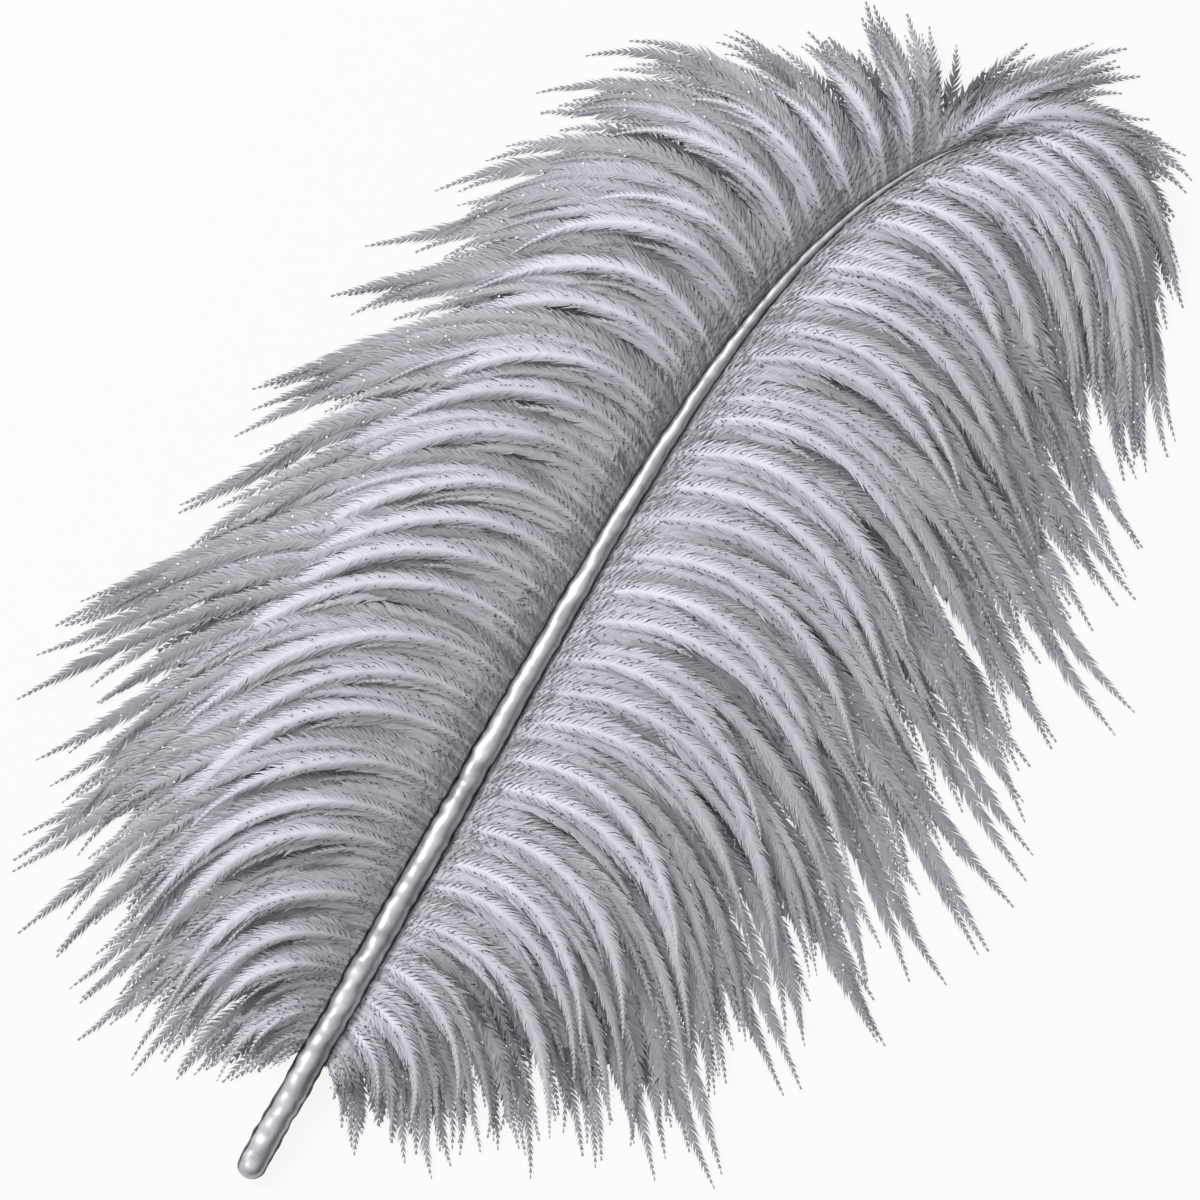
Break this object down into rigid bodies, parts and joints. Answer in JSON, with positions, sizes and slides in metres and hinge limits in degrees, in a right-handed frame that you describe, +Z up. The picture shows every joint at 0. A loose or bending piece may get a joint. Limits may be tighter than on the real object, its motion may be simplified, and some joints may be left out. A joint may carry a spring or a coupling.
{
  "type": "ostrich feather",
  "caption": "Large silver-grey ostrich plume lying flat: a round shaft that tapers and bends over at the tip, with two wide fluffy vanes whose barbs arch up and curl back.",
  "frame": {"origin": "centre of the base of the bounding box, on the surface that the plume lies on", "axes": "+Y from the quill to the tip along the straight lower shaft, +X towards the wider vane and the side the tip bends to, +Z up"},
  "size_m": [0.2816, 0.4276, 0.023],
  "materials": {
    "quill": "silvered keratin, glossy, slightly lumpy",
    "flue": "soft silver-grey down, matt with a faint sheen"
  },
  "bodies": {
    "root": {"shaft": "quill", "vane_left": "flue", "vane_right": "flue"}
  },
  "joints": []
}
